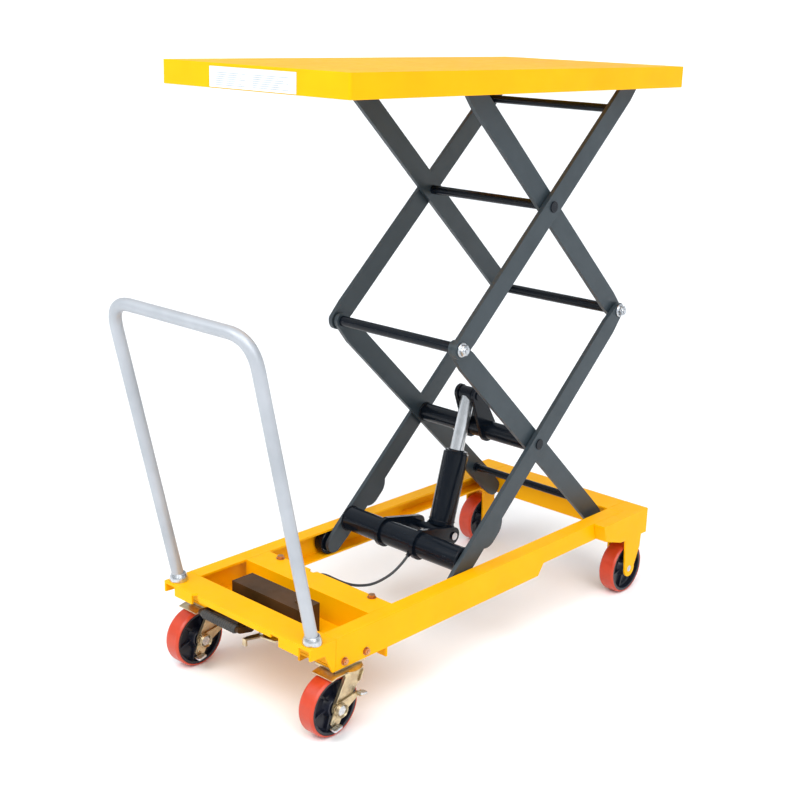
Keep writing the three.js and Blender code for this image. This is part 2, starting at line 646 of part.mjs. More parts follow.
// Roller channel and pivot lugs under one side of the deck.
function deck_track(side) {
  const roof = DECK.top - DECK.sheet - 0.4;
  const low = topLeft[1] - ROLLER.deck - 0.4;
  const parts = [
    box([150, 1010], span(side, [186, 197]), [roof - 3, roof]),
    box([150, 1010], span(side, [193.5, 197]), [low - 3, roof]),
    box([150, 470], span(side, [183, 197]), [low - 3, low]),
    box([930, 1010], span(side, [158.4, 197]), [roof - 3, roof]),
  ];
  const lug = outline([[946, roof], [998, roof], [992, 1216], [978, 1207.5], [966, 1207.5], [952, 1216]]);
  for (const y of [[184, 190], [160, 168]]) {
    const plate = slabXZ(lug, span(side, y));
    parts.push(cut(plate, rodY(topRight[0], topRight[1], 8.4, span(side, [y[0] - 1, y[1] + 1]), 20)));
  }
  return join(...parts);
}

add('deck', deck_tray(), YELLOW);
for (const [label, side] of SIDES) add(`deck_track_${label}`, deck_track(side), YELLOW);
add('deck_label', box([-0.9, -0.3], [-120.5, 110.5], [1207, 1244]), LABEL);

export default object;
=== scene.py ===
"""Finished looks for a double scissor lift table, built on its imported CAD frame.

Metres, +Z up, +X from the push handle to the far end, near side at -Y.
"""

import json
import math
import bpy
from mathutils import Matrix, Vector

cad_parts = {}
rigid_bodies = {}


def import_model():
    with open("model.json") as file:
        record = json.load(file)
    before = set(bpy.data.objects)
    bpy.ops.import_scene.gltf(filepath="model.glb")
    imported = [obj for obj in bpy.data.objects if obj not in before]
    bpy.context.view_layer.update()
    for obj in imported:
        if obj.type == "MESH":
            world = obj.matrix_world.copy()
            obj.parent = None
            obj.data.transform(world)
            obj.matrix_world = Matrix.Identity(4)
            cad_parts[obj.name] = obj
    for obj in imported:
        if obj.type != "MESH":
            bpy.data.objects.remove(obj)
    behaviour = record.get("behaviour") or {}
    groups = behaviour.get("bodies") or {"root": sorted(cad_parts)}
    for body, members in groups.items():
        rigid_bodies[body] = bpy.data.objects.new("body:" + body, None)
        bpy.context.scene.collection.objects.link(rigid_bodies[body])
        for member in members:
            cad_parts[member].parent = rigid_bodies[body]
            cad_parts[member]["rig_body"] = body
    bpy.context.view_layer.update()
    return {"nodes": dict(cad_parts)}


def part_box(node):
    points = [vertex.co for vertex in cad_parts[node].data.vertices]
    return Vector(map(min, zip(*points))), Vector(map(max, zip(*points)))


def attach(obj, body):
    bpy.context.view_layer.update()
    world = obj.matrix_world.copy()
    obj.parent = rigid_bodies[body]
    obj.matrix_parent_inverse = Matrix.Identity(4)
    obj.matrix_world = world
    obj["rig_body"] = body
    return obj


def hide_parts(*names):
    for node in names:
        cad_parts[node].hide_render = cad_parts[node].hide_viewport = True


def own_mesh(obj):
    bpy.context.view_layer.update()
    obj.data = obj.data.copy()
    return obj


bl_info = {
    "name": "Scissor Lift Table",
    "version": (1, 0, 0),
    "blender": (4, 5, 0),
    "location": "View3D > Sidebar > Lift Table",
    "description": "Builds the finished pieces of a double scissor lift table round its CAD frame",
    "category": "Add Mesh",
}

import bmesh
import bpy
from mathutils import Matrix, Vector

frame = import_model()
MM = 0.001
SIDES = (("near", -1), ("far", 1))
AXIS_Y = Vector((0, 1, 0))
AXIS_Z = Vector((0, 0, 1))
CAMERA_PLACE = (-2.0271, -1.8188, 1.349)
CAMERA_YAW_PITCH_ROLL_DEG = (47.88, 16.43, 1.73)
CAMERA_LENS_MM = 59.3
FLOOR_REACH = 60
RELEASE_PIVOT = Vector((-0.43975, -0.034, 0.1566))

# Centre line of the hydraulic hose, from the notch in the cross plate to the big tube.
HOSE_ROUTE = [
    (-0.22425, 0.041, 0.192), (-0.21575, 0.038, 0.192), (-0.20675, 0.0345, 0.1905),
    (-0.19575, 0.0305, 0.1855), (-0.18375, 0.026, 0.1775), (-0.16975, 0.0205, 0.1685),
    (-0.15375, 0.0145, 0.1595), (-0.13675, 0.008, 0.1525), (-0.11875, 0.001, 0.1485),
    (-0.10075, -0.006, 0.1475), (-0.08375, -0.0125, 0.1505), (-0.06775, -0.0185, 0.1565),
    (-0.05375, -0.024, 0.164), (-0.04075, -0.0285, 0.1735), (-0.02875, -0.032, 0.184),
    (-0.01875, -0.0345, 0.194), (-0.01075, -0.036, 0.2025),
]


class LiftTableSizes(bpy.types.PropertyGroup):
    edge_radius: bpy.props.FloatProperty(
        name="Edge radius", description="Radius of the broken edges on plate and bar",
        default=0.0008, min=0.0001, max=0.003, unit="LENGTH")
    deck_edge_radius: bpy.props.FloatProperty(
        name="Deck edge radius", description="Radius of the folded edge round the deck",
        default=0.0022, min=0.0005, max=0.005, unit="LENGTH")
    tyre_shoulder: bpy.props.FloatProperty(
        name="Tyre shoulder", description="Radius where the tread turns into the tyre wall",
        default=0.0025, min=0.001, max=0.008, unit="LENGTH")
    hose_radius: bpy.props.FloatProperty(
        name="Hose radius", description="Half the outside diameter of the hydraulic hose",
        default=0.003, min=0.0025, max=0.004, unit="LENGTH")
    weld_radius: bpy.props.FloatProperty(
        name="Weld bead radius", description="Half the width of a fillet weld bead",
        default=0.0026, min=0.001, max=0.004, unit="LENGTH")
    rib_pitch: bpy.props.FloatProperty(
        name="Pedal rib pitch", description="Distance between the ribs on the pedal sleeve",
        default=0.0065, min=0.003, max=0.01, unit="LENGTH")


def colour_property(name, description, default):
    """A colour that a user can change, kept as an sRGB hex text."""
    return bpy.props.StringProperty(name=name, description=description, default=default)


class LiftTableColours(bpy.types.PropertyGroup):
    frame_paint: colour_property("Frame paint", "sRGB hex of the yellow powder coat", "F7B300")
    arm_paint: colour_property("Arm paint", "sRGB hex of the slate grey arm paint", "323C42")
    tube_enamel: colour_property("Tube enamel", "sRGB hex of the blue-black enamel", "0D141D")
    handle_coat: colour_property("Handle coat", "sRGB hex of the silver handle coat", "B4B8BE")
    plated_steel: colour_property("Yellow zinc", "sRGB hex of the caster plating", "D6C6A2")
    bright_steel: colour_property("Bright zinc", "sRGB hex of nuts, pins and washers", "D2D5D8")
    tyre_red: colour_property("Tyre red", "sRGB hex of the polyurethane tyres", "C43E1E")
    core_navy: colour_property("Core navy", "sRGB hex of the painted wheel cores", "171A29")
    grip_grey: colour_property("Grip grey", "sRGB hex of the pedal sleeve rubber", "3A3836")


# ---------------------------------------------------------------- colour and nodes


def linear(hex_text):
    """An sRGB hex colour as linear RGBA."""
    channels = [int(hex_text[i:i + 2], 16) / 255 for i in (0, 2, 4)]
    return [c / 12.92 if c <= 0.04045 else ((c + 0.055) / 1.055) ** 2.4 for c in channels] + [1.0]


def add_node(tree, kind, inputs=None, **settings):
    """Adds one node; an input is given as a value or as the output socket that feeds it."""
    made = tree.nodes.new(kind)
    for key, value in settings.items():
        setattr(made, key, value)
    for key, value in (inputs or {}).items():
        if isinstance(value, bpy.types.NodeSocket):
            tree.links.new(value, made.inputs[key])
        else:
            made.inputs[key].default_value = value
    return made


def start_material(name):
    """An empty material with its output, its shader and the object coordinates in metres."""
    made = bpy.data.materials.new(name)
    made.use_nodes = True
    tree = made.node_tree
    tree.nodes.clear()
    shader = add_node(tree, "ShaderNodeBsdfPrincipled")
    output = add_node(tree, "ShaderNodeOutputMaterial")
    tree.links.new(shader.outputs["BSDF"], output.inputs["Surface"])
    place = add_node(tree, "ShaderNodeTexCoord").outputs["Object"]
    return made, tree, shader, place


def ramp_between(tree, source, low, high, first, second):
    """A colour ramp from one linear colour to another over part of the source's range."""
    ramp = add_node(tree, "ShaderNodeValToRGB", {"Fac": source})
    ramp.color_ramp.elements[0].position = low
    ramp.color_ramp.elements[0].color = first
    ramp.color_ramp.elements[1].position = high
    ramp.color_ramp.elements[1].color = second
    return ramp.outputs["Color"]


def sprayed(name, colour, shade, roughness, peel_mm, peel_depth_mm, coat, gloss):
    """Paint on steel: patchy film, orange peel of the given cell size, and faint handling dulling."""
    made, tree, shader, place = start_material(name)
    patches = add_node(tree, "ShaderNodeTexNoise", {
        "Vector": place, "Scale": 1 / 0.11, "Detail": 3.0, "Roughness": 0.55})
    body = ramp_between(tree, patches.outputs["Fac"], 0.32, 0.72, linear(shade), linear(colour))
    tree.links.new(body, shader.inputs["Base Color"])
    handling = add_node(tree, "ShaderNodeTexNoise", {
        "Vector": place, "Scale": 1 / 0.024, "Detail": 4.0, "Roughness": 0.6})
    dulling = add_node(tree, "ShaderNodeMapRange", {
        "Value": handling.outputs["Fac"], "From Min": 0.3, "From Max": 0.75,
        "To Min": roughness - 0.05, "To Max": roughness + 0.09})
    tree.links.new(dulling.outputs["Result"], shader.inputs["Roughness"])
    peel = add_node(tree, "ShaderNodeTexNoise", {
        "Vector": place, "Scale": 1 / (peel_mm * MM), "Detail": 1.5, "Roughness": 0.4})
    relief = add_node(tree, "ShaderNodeBump", {
        "Height": peel.outputs["Fac"], "Distance": peel_depth_mm * MM, "Strength": 0.6})
    tree.links.new(relief.outputs["Normal"], shader.inputs["Normal"])
    shader.inputs["Metallic"].default_value = 0.0
    shader.inputs["IOR"].default_value = 1.5
    shader.inputs["Specular IOR Level"].default_value = gloss
    shader.inputs["Coat Weight"].default_value = coat
    shader.inputs["Coat Roughness"].default_value = 0.12
    return made


def plated(name, colour, tint, roughness, patch_mm, scratch_mm, stretch):
    """Bare or plated metal: two-tone film and fine scratches drawn out along one direction."""
    made, tree, shader, place = start_material(name)
    film = add_node(tree, "ShaderNodeTexNoise", {
        "Vector": place, "Scale": 1 / (patch_mm * MM), "Detail": 3.0, "Roughness": 0.5})
    body = ramp_between(tree, film.outputs["Fac"], 0.35, 0.68, linear(tint), linear(colour))
    tree.links.new(body, shader.inputs["Base Color"])
    drawn = add_node(tree, "ShaderNodeMapping", {"Vector": place, "Scale": stretch})
    lines = add_node(tree, "ShaderNodeTexNoise", {
        "Vector": drawn.outputs["Vector"], "Scale": 1 / (scratch_mm * MM), "Detail": 2.0})
    gloss = add_node(tree, "ShaderNodeMapRange", {
        "Value": lines.outputs["Fac"], "From Min": 0.3, "From Max": 0.7,
        "To Min": max(0.03, roughness - 0.06), "To Max": roughness + 0.1})
    tree.links.new(gloss.outputs["Result"], shader.inputs["Roughness"])
    relief = add_node(tree, "ShaderNodeBump", {
        "Height": lines.outputs["Fac"], "Distance": 0.01 * MM, "Strength": 0.5})
    tree.links.new(relief.outputs["Normal"], shader.inputs["Normal"])
    shader.inputs["Metallic"].default_value = 1.0
    return made


def yellow_powder_coat(colours):
    # Polyester powder coat baked on steel: even, satin-bright, with 2.5 mm orange peel.
    return sprayed("yellow_powder_coat", colours.frame_paint, "F3AB00", 0.42, 2.5, 0.03, 0.0, 0.1)


def slate_paint(colours):
    # Wet-sprayed slate enamel: darker and smoother than the powder, so edges catch pale lines.
    return sprayed("slate_paint", colours.arm_paint, "2A343A", 0.38, 1.8, 0.02, 0.0, 0.4)


def black_enamel(colours):
    # Gloss enamel on drawn tube: deep blue-black with long, clear highlights.
    return sprayed("black_enamel", colours.tube_enamel, "0A1018", 0.2, 3.0, 0.015, 0.0, 0.2)


def pump_black(colours):
    # Thin black paint on pressed sheet: brownish where the film is thin.
    return sprayed("pump_black", "54381D", "38250F", 0.4, 1.5, 0.02, 0.0, 0.15)


def silver_coat(colours):
    # Aluminium-flake powder coat on the handle tube: pale, soft sheen with a fine sparkle grain.
    made = sprayed("silver_powder_coat", colours.handle_coat, "A3A8AE", 0.42, 0.9, 0.012, 0.0, 0.5)
    made.node_tree.nodes["Principled BSDF"].inputs["Metallic"].default_value = 0.35
    return made


def yellow_zinc(colours):
    # Zinc plate with yellow chromate: straw-coloured, drifting to pinkish grey in patches.
    return plated("yellow_zinc", colours.plated_steel, "BBA88A", 0.32, 14.0, 1.2, (1, 1, 4))


def bright_zinc(colours):
    # Clear-passivated zinc on fasteners: light blue-grey, slightly cloudy.
    return plated("bright_zinc", colours.bright_steel, "B9BDC2", 0.28, 6.0, 0.8, (1, 1, 1))


def hard_chrome(colours):
    # Ground and chromed rod: near-mirror, with wiping lines along the stroke.
    return plated("hard_chrome", "DADCDE", "CDD0D3", 0.24, 20.0, 0.7, (9, 9, 1))


def copper_tint_bolt(colours):
    # Yellow-zinc bolt heads of the frame: stronger, coppery passivation.
    return plated("copper_tint_bolt", "D9A277", "B98058", 0.34, 5.0, 0.8, (1, 1, 1))


def moulded(name, colour, shade, roughness, grain_mm, depth_mm, ior):
    """Cast or moulded polymer: fine grain, slight mottling and rubbed roughness."""
    made, tree, shader, place = start_material(name)
    mottle = add_node(tree, "ShaderNodeTexNoise", {
        "Vector": place, "Scale": 1 / 0.018, "Detail": 4.0, "Roughness": 0.6})
    body = ramp_between(tree, mottle.outputs["Fac"], 0.3, 0.7, linear(shade), linear(colour))
    tree.links.new(body, shader.inputs["Base Color"])
    grain = add_node(tree, "ShaderNodeTexNoise", {
        "Vector": place, "Scale": 1 / (grain_mm * MM), "Detail": 3.0, "Roughness": 0.6})
    rubbed = add_node(tree, "ShaderNodeMapRange", {
        "Value": mottle.outputs["Fac"], "From Min": 0.3, "From Max": 0.7,
        "To Min": roughness - 0.06, "To Max": roughness + 0.1})
    tree.links.new(rubbed.outputs["Result"], shader.inputs["Roughness"])
    relief = add_node(tree, "ShaderNodeBump", {
        "Height": grain.outputs["Fac"], "Distance": depth_mm * MM, "Strength": 0.6})
    tree.links.new(relief.outputs["Normal"], shader.inputs["Normal"])
    shader.inputs["IOR"].default_value = ior
    return made


def red_polyurethane(colours):
    # Cast polyurethane tread: waxy red-orange, light scatters a little under the surface.
    made = moulded("red_polyurethane", colours.tyre_red, "B8381B", 0.36, 1.2, 0.02, 1.5)
    shader = made.node_tree.nodes["Principled BSDF"]
    shader.inputs["Subsurface Weight"].default_value = 0.12
    shader.inputs["Subsurface Scale"].default_value = 0.002
    return made


def navy_core(colours):
    # Cast iron wheel centre under thick navy paint: soft cast grain, satin gloss.
    return moulded("navy_core", colours.core_navy, "0E1019", 0.34, 1.6, 0.05, 1.5)


def grip_rubber(colours):
    # Moulded rubber sleeve: dull dark grey with a dusty, worn bloom.
    return moulded("grey_rubber", colours.grip_grey, "2B2A28", 0.62, 0.7, 0.03, 1.52)


def hose_rubber(colours):
    # Extruded rubber cover of the hose: smooth, dark and faintly waxy.
    return moulded("hose_rubber", "2A2E33", "202327", 0.42, 0.6, 0.01, 1.5)


def white_vinyl(colours):
    # Printed vinyl plate: bright white with a soft laminate sheen.
    return moulded("white_label", "F1F3F4", "E8EBED", 0.35, 0.8, 0.005, 1.5)


def label_ink(colours):
    # Pale grey print on the vinyl: even rules, no lettering.
    return moulded("label_ink", "9AA3AC", "8C959E", 0.45, 0.8, 0.003, 1.5)


FINISHES = {
    "yellow": (yellow_powder_coat, "yellow_powder_coat"),
    "slate": (slate_paint, "slate_paint"),
    "black": (black_enamel, "black_enamel"),
    "pump": (pump_black, "black_enamel"),
    "silver": (silver_coat, "silver_powder_coat"),
    "zinc": (yellow_zinc, "yellow_zinc"),
    "bright": (bright_zinc, "bright_zinc"),
    "chrome": (hard_chrome, "hard_chrome"),
    "copper": (copper_tint_bolt, "yellow_zinc"),
    "tyre": (red_polyurethane, "red_polyurethane"),
    "core": (navy_core, "navy_core"),
    "rubber": (grip_rubber, "grey_rubber"),
    "hose": (hose_rubber, "grey_rubber"),
    "vinyl": (white_vinyl, "white_label"),
    "ink": (label_ink, "white_label"),
}
made_finishes = {}


def finish(key):
    """The material of that finish, made the first time it is asked for."""
    if key not in made_finishes:
        made_finishes[key] = FINISHES[key][0](bpy.context.scene.lift_table_colours)
    return made_finishes[key]


# ---------------------------------------------------------------- mesh helpers


def middle(node):
    """Centre of a CAD node's box."""
    low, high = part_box(node)
    return (low + high) / 2


def round_size(node):
    """Centre, radius and half width of a CAD node that is round about Y."""
    low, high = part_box(node)
    return (low + high) / 2, (high.z - low.z) / 2, (high.y - low.y) / 2


def settle_normals(build, sharp_deg):
    """Smooths the faces and marks the edges sharper than the given angle."""
    for face in build.faces:
        face.smooth = True
    for edge in build.edges:
        if len(edge.link_faces) != 2:
            edge.smooth = False
            continue
        edge.smooth = edge.calc_face_angle(0.0) < math.radians(sharp_deg)


def new_piece(name, build, body, key, replaces=(), sharp_deg=38, weighted=True):
    """Turns a bmesh into a finished piece that rides on a body."""
    bmesh.ops.recalc_face_normals(build, faces=build.faces)
    settle_normals(build, sharp_deg)
    mesh = bpy.data.meshes.new(name)
    build.to_mesh(mesh)
    build.free()
    piece = bpy.data.objects.new(name, mesh)
    bpy.context.scene.collection.objects.link(piece)
    if weighted:
        weigh = piece.modifiers.new("weighted_normals", "WEIGHTED_NORMAL")
        weigh.keep_sharp = True
        graph = bpy.context.evaluated_depsgraph_get()
        piece.data = bpy.data.meshes.new_from_object(piece.evaluated_get(graph))
        piece.modifiers.clear()
    piece.data.materials.clear()
    piece.data.materials.append(finish(key))
    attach(piece, body)
    if replaces:
        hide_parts(*replaces)
    return piece


def lathe(build, profile, centre, axis, steps=48):
    """Turns a profile of (radius, height) points round an axis; a closed profile makes a ring."""
    turn = AXIS_Z.rotation_difference(Vector(axis)).to_matrix()
    closed = profile[0] == profile[-1]
    points = profile[:-1] if closed else profile
    rings = []
    for radius, height in points:
        if radius == 0:
            rings.append([build.verts.new(Vector(centre) + turn @ Vector((0, 0, height)))])
            continue
        ring = []
        for i in range(steps):
            angle = 2 * math.pi * i / steps
            spot = Vector((radius * math.cos(angle), radius * math.sin(angle), height))
            ring.append(build.verts.new(Vector(centre) + turn @ spot))
        rings.append(ring)
    pairs = list(zip(rings, rings[1:] + rings[:1])) if closed else list(zip(rings, rings[1:]))
    for first, second in pairs:
        for i in range(steps):
            j = (i + 1) % steps
            corners = [first[i % len(first)], first[j % len(first)],
                       second[j % len(second)], second[i % len(second)]]
            unique = list(dict.fromkeys(corners))
            if len(unique) > 2:
                build.faces.new(unique)
    for ring, end in ((rings[0], 0), (rings[-1], 1)):
        if not closed and len(ring) > 1:
            build.faces.new(ring if end else ring[::-1])


def rounded_profile(points, radius, steps=4):
    """A profile with the corners between its inner points rounded."""
    out = [points[0]]
    for before, corner, after in zip(points, points[1:], points[2:]):
        a, c, b = Vector(before), Vector(corner), Vector(after)
        back, on = (a - c), (b - c)
        cut = min(radius, back.length * 0.45, on.length * 0.45)
        start, end = c + back.normalized() * cut, c + on.normalized() * cut
        for i in range(steps + 1):
            t = i / steps
            spot = start * (1 - t) ** 2 + c * 2 * t * (1 - t) + end * t ** 2
            out.append((spot.x, spot.y))
    out.append(points[-1])
    return out


def tube(build, path, radius, sides=16, capped=True):
    """A round bar swept along a path, with its rings kept from twisting."""
    points = [Vector(p) for p in path]
    tangents = []
    for i, _ in enumerate(points):
        ahead = points[min(i + 1, len(points) - 1)] - points[max(i - 1, 0)]
        tangents.append(ahead.normalized())
    side = tangents[0].orthogonal().normalized()
    rings = []
    for i, point in enumerate(points):
        if i:
            side = tangents[i - 1].rotation_difference(tangents[i]) @ side
        up = tangents[i].cross(side).normalized()
        size = radius[i] if isinstance(radius, (list, tuple)) else radius
        ring = []
        for k in range(sides):
            angle = 2 * math.pi * k / sides
            ring.append(build.verts.new(
                point + side * (math.cos(angle) * size) + up * (math.sin(angle) * size)))
        rings.append(ring)
    for first, second in zip(rings, rings[1:]):
        for k in range(sides):
            build.faces.new((first[k], first[(k + 1) % sides],
                             second[(k + 1) % sides], second[k]))
    if capped:
        build.faces.new(rings[0][::-1])
        build.faces.new(rings[-1])


def smooth_path(points, steps=8):
    """Centripetal Catmull-Rom curve through the points."""
    pts = [Vector(p) for p in points]
    pts = [pts[0] * 2 - pts[1]] + pts + [pts[-1] * 2 - pts[-2]]
    out = []
    for a, b, c, d in zip(pts, pts[1:], pts[2:], pts[3:]):
        t0 = 0.0
        t1 = t0 + (b - a).length ** 0.5
        t2 = t1 + (c - b).length ** 0.5
        t3 = t2 + (d - c).length ** 0.5
        for i in range(steps):
            t = t1 + (t2 - t1) * i / steps
            ab = a * ((t1 - t) / (t1 - t0)) + b * ((t - t0) / (t1 - t0))
            bc = b * ((t2 - t) / (t2 - t1)) + c * ((t - t1) / (t2 - t1))
            cd = c * ((t3 - t) / (t3 - t2)) + d * ((t - t2) / (t3 - t2))
            abc = ab * ((t2 - t) / (t2 - t0)) + bc * ((t - t0) / (t2 - t0))
            bcd = bc * ((t3 - t) / (t3 - t1)) + cd * ((t - t1) / (t3 - t1))
            out.append(abc * ((t2 - t) / (t2 - t1)) + bcd * ((t - t1) / (t2 - t1)))
    out.append(pts[-2])
    return out


def plate(build, outline, thickness, origin, right, up, edge=0.0004):
    """A flat shape given thickness, with broken edges; its outline runs in right and up."""
    right, up = Vector(right).normalized(), Vector(up).normalized()
    normal = right.cross(up)
    part = bmesh.new()
    low = [part.verts.new(Vector(origin) + right * x + up * y) for x, y in outline]
    high = [part.verts.new(v.co + normal * thickness) for v in low]
    part.faces.new(low[::-1])
    part.faces.new(high)
    for i in range(len(outline)):
        j = (i + 1) % len(outline)
        part.faces.new((low[i], low[j], high[j], high[i]))
    bmesh.ops.recalc_face_normals(part, faces=part.faces)
    if edge:
        sharp = [e for e in part.edges if e.calc_face_angle(0.0) > math.radians(28)]
        bmesh.ops.bevel(part, geom=sharp, offset=edge, offset_type="OFFSET", segments=2,
                        profile=0.5, affect="EDGES", clamp_overlap=True)
    pour(part, build)


def pour(part, build):
    """Adds all of one bmesh to another."""
    spare = bpy.data.meshes.new("spare")
    part.to_mesh(spare)
    part.free()
    build.from_mesh(spare)
    bpy.data.meshes.remove(spare)


def hexagon(build, centre, axis, across, height, dome=0.0009):
    """A hexagon head or nut with its corners turned down by a chamfer."""
    axis = Vector(axis).normalized()
    side = axis.orthogonal().normalized()
    up = axis.cross(side)
    corners = []
    for i in range(6):
        angle = math.radians(60 * i + 12)
        reach = across / 2 / math.cos(math.radians(30))
        corners.append((math.cos(angle) * reach, math.sin(angle) * reach))
    plate(build, corners, height, centre, side, up, edge=dome)


def weld_ring(build, centre, axis, radius, bead, ripples=40):
    """A fillet weld bead round a tube, rippled as the puddles freeze."""
    turn = AXIS_Z.rotation_difference(Vector(axis)).to_matrix()
    path = []
    sizes = []
    for i in range(ripples * 2 + 1):
        angle = math.pi * i / ripples
        spot = Vector((math.cos(angle) * radius, math.sin(angle) * radius, 0))
        path.append(Vector(centre) + turn @ spot)
        sizes.append(bead * (1.0 if i % 2 else 0.82))
    tube(build, path, sizes, sides=8, capped=False)


def softened(node, width, key, segments=2, sharp_deg=38):
    """A copy of a CAD node with its sharp edges broken, standing for the node."""
    source = frame["nodes"][node]
    build = bmesh.new()
    build.from_mesh(source.data)
    bmesh.ops.remove_doubles(build, verts=build.verts, dist=2e-6)
    bmesh.ops.dissolve_limit(build, angle_limit=math.radians(1.0), verts=build.verts,
                             edges=build.edges)
    sharp = [e for e in build.edges
             if len(e.link_faces) == 2 and e.calc_face_angle(0.0) > math.radians(30)]
    bmesh.ops.bevel(build, geom=sharp, offset=width, offset_type="OFFSET", segments=segments,
                    profile=0.5, affect="EDGES", clamp_overlap=True)
    return new_piece(f"{node}_finished", build, source["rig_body"], key, (node,), sharp_deg)


def tint_faces(piece, key, chosen):
    """Gives the faces picked by a test on their centre another finish."""
    piece.data.materials.append(finish(key))
    index = len(piece.data.materials) - 1
    for face in piece.data.polygons:
        if chosen(face.center):
            face.material_index = index


# ---------------------------------------------------------------- operators


class PieceOperator:
    """What the operators share: each builds its pieces once, in the current scene."""

    bl_options = {"REGISTER", "UNDO"}

    def execute(self, context):
        self.build(context.scene.lift_table_sizes)
        return {"FINISHED"}


class LIFTTABLE_OT_stage(PieceOperator, bpy.types.Operator):
    """Camera, pale floor and soft studio light"""

    bl_idname = "lift_table.stage"
    bl_label = "Stage"

    def build(self, sizes):
        scene = bpy.context.scene
        yaw, pitch, roll = (math.radians(a) for a in CAMERA_YAW_PITCH_ROLL_DEG)
        ahead = Vector((math.sin(yaw) * math.cos(pitch), math.cos(yaw) * math.cos(pitch),
                        -math.sin(pitch)))
        right = ahead.cross(AXIS_Z).normalized()
        up = right.cross(ahead)
        across = right * math.cos(roll) + up * math.sin(roll)
        above = up * math.cos(roll) - right * math.sin(roll)
        camera = bpy.data.objects.new("camera", bpy.data.cameras.new("camera"))
        camera.data.sensor_width = 36
        camera.data.lens = CAMERA_LENS_MM
        turn = Matrix((across, above, -ahead)).transposed()
        camera.matrix_world = Matrix.Translation(CAMERA_PLACE) @ turn.to_4x4()
        scene.collection.objects.link(camera)
        scene.camera = camera

        floor_mesh = bpy.data.meshes.new("floor")
        corners = [(FLOOR_REACH * x, FLOOR_REACH * y, 0)
                   for x, y in ((-1, -1), (1, -1), (1, 1), (-1, 1))]
        floor_mesh.from_pydata(corners, [], [(0, 1, 2, 3)])
        floor = bpy.data.objects.new("floor", floor_mesh)
        made, tree, shader, place = start_material("studio_floor")
        shade = add_node(tree, "ShaderNodeTexNoise", {"Vector": place, "Scale": 0.8})
        body = ramp_between(tree, shade.outputs["Fac"], 0.3, 0.7,
                            linear("F6F6F6"), linear("FAFAFA"))
        tree.links.new(body, shader.inputs["Base Color"])
        shader.inputs["Roughness"].default_value = 0.9
        floor_mesh.materials.append(made)
        scene.collection.objects.link(floor)

        world = bpy.data.worlds.new("studio")
        world.use_nodes = True
        sky = world.node_tree
        direction = add_node(sky, "ShaderNodeTexCoord").outputs["Generated"]
        height = add_node(sky, "ShaderNodeSeparateXYZ", {"Vector": direction}).outputs["Z"]
        glow = ramp_between(sky, height, 0.0, 1.0, (0.34, 0.36, 0.38, 1), (0.9, 0.95, 1.0, 1))
        sky.links.new(glow, sky.nodes["Background"].inputs["Color"])
        sky.nodes["Background"].inputs["Strength"].default_value = 1.0
        scene.world = world
        self.wall(scene)
        scene.view_settings.view_transform = "Standard"
        sun = bpy.data.objects.new("sky_panel", bpy.data.lights.new("sky_panel", "SUN"))
        sun.data.energy = 2.0
        sun.data.angle = math.radians(50)
        sun.rotation_euler = Vector((0.55, 0.42, -0.9)).to_track_quat("-Z", "Y").to_euler()
        scene.collection.objects.link(sun)
        for name, spot, size, power in (
                ("softbox_left", (-2.4, 1.0, 2.6), 1.6, 34),
                ("softbox_front", (-1.2, -3.6, 2.4), 1.8, 34)):
            light = bpy.data.objects.new(name, bpy.data.lights.new(name, "AREA"))
            light.data.energy = power
            light.data.size = size
            light.location = spot
            aim = Vector((0, 0, 0.6)) - Vector(spot)
            light.rotation_euler = aim.to_track_quat("-Z", "Y").to_euler()
            scene.collection.objects.link(light)

    def wall(self, scene):
        """Low pale wall far round the floor, which hides the floor's edge."""
        build = bmesh.new()
        lathe(build, [(28.0, 0.0), (29.0, 0.4), (29.4, 1.2), (29.5, 3.6)], (0, 0, 0), AXIS_Z, 96)
        for ring_cap in [f for f in build.faces if len(f.verts) > 4]:
            build.faces.remove(ring_cap)
        mesh = bpy.data.meshes.new("studio_wall")
        build.to_mesh(mesh)
        build.free()
        mesh.materials.append(bpy.data.materials["studio_floor"])
        wall = bpy.data.objects.new("studio_wall", mesh)
        scene.collection.objects.link(wall)


class LIFTTABLE_OT_hose(PieceOperator, bpy.types.Operator):
    """Hydraulic hose from the cross plate to the big tube, with its end fittings"""

    bl_idname = "lift_table.hose"
    bl_label = "Hydraulic hose"

    def build(self, sizes):
        path = smooth_path(HOSE_ROUTE, 6)
        build = bmesh.new()
        tube(build, path, sizes.hose_radius, 16)
        hose = new_piece("hose", build, "base_frame", "hose", ("hydraulic_hose",), 60, False)
        build = bmesh.new()
        start, onward = path[0], (path[1] - path[0]).normalized()
        lathe(build, [(0, -0.012), (0.0055, -0.012), (0.0055, 0.010), (0.0049, 0.014),
                      (0, 0.014)], start - onward * 0.004, onward, 24)
        hexagon(build, start - onward * 0.018, onward, 0.013, 0.007)
        new_piece("hose_fitting_pump", build, "base_frame", "bright")
        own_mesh(hose)
        tube_centre = Vector((0.0139, path[-1].y, 0.2209))
        inward = (tube_centre - path[-1]).normalized()
        build = bmesh.new()
        lathe(build, [(0, -0.006), (0.0050, -0.006), (0.0050, 0.0), (0.0068, 0.0), (0.0068, 0.0036),
                      (0, 0.0036)], path[-1], inward, 24)
        new_piece("hose_fitting_tube", build, "lower_outer_frame", "black")


